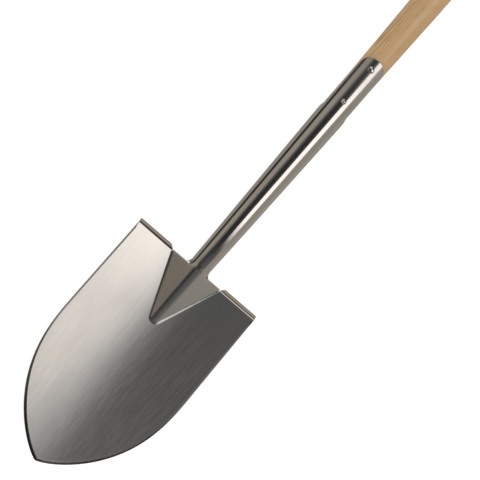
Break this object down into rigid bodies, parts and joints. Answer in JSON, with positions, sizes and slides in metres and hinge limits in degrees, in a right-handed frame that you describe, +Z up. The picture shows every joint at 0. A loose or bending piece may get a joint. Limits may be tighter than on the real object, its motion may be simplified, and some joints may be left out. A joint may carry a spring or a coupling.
{
  "type": "garden spade",
  "caption": "Round-pointed stainless garden spade: dished blade with folded treads, riveted strapped socket, tapered ash shaft and T-grip.",
  "frame": {"origin": "middle of the length, on the centre line, on the surface that the treads lie on", "axes": "+X along the shaft from the blade to the grip, +Y across the blade, +Z up out of the blade's hollow front side"},
  "size_m": [1.1311, 0.1836, 0.0498],
  "materials": {
    "blade_steel": "satin",
    "socket_steel": "polished",
    "weld_steel": "ground",
    "rivet_steel": "polished",
    "ash": "waxed",
    "ash_grip": "waxed",
    "dark_wood": "waxed"
  },
  "bodies": {
    "root": {"blade": "blade_steel", "rear_socket": "socket_steel", "left_seam_weld": "weld_steel", "right_seam_weld": "weld_steel", "tail_weld": "weld_steel", "lower_rivet": "rivet_steel", "upper_rivet": "rivet_steel", "ash_shaft": "ash", "t_grip": "ash_grip", "tenon_wedge": "dark_wood", "grip_pin": "rivet_steel"}
  },
  "joints": []
}
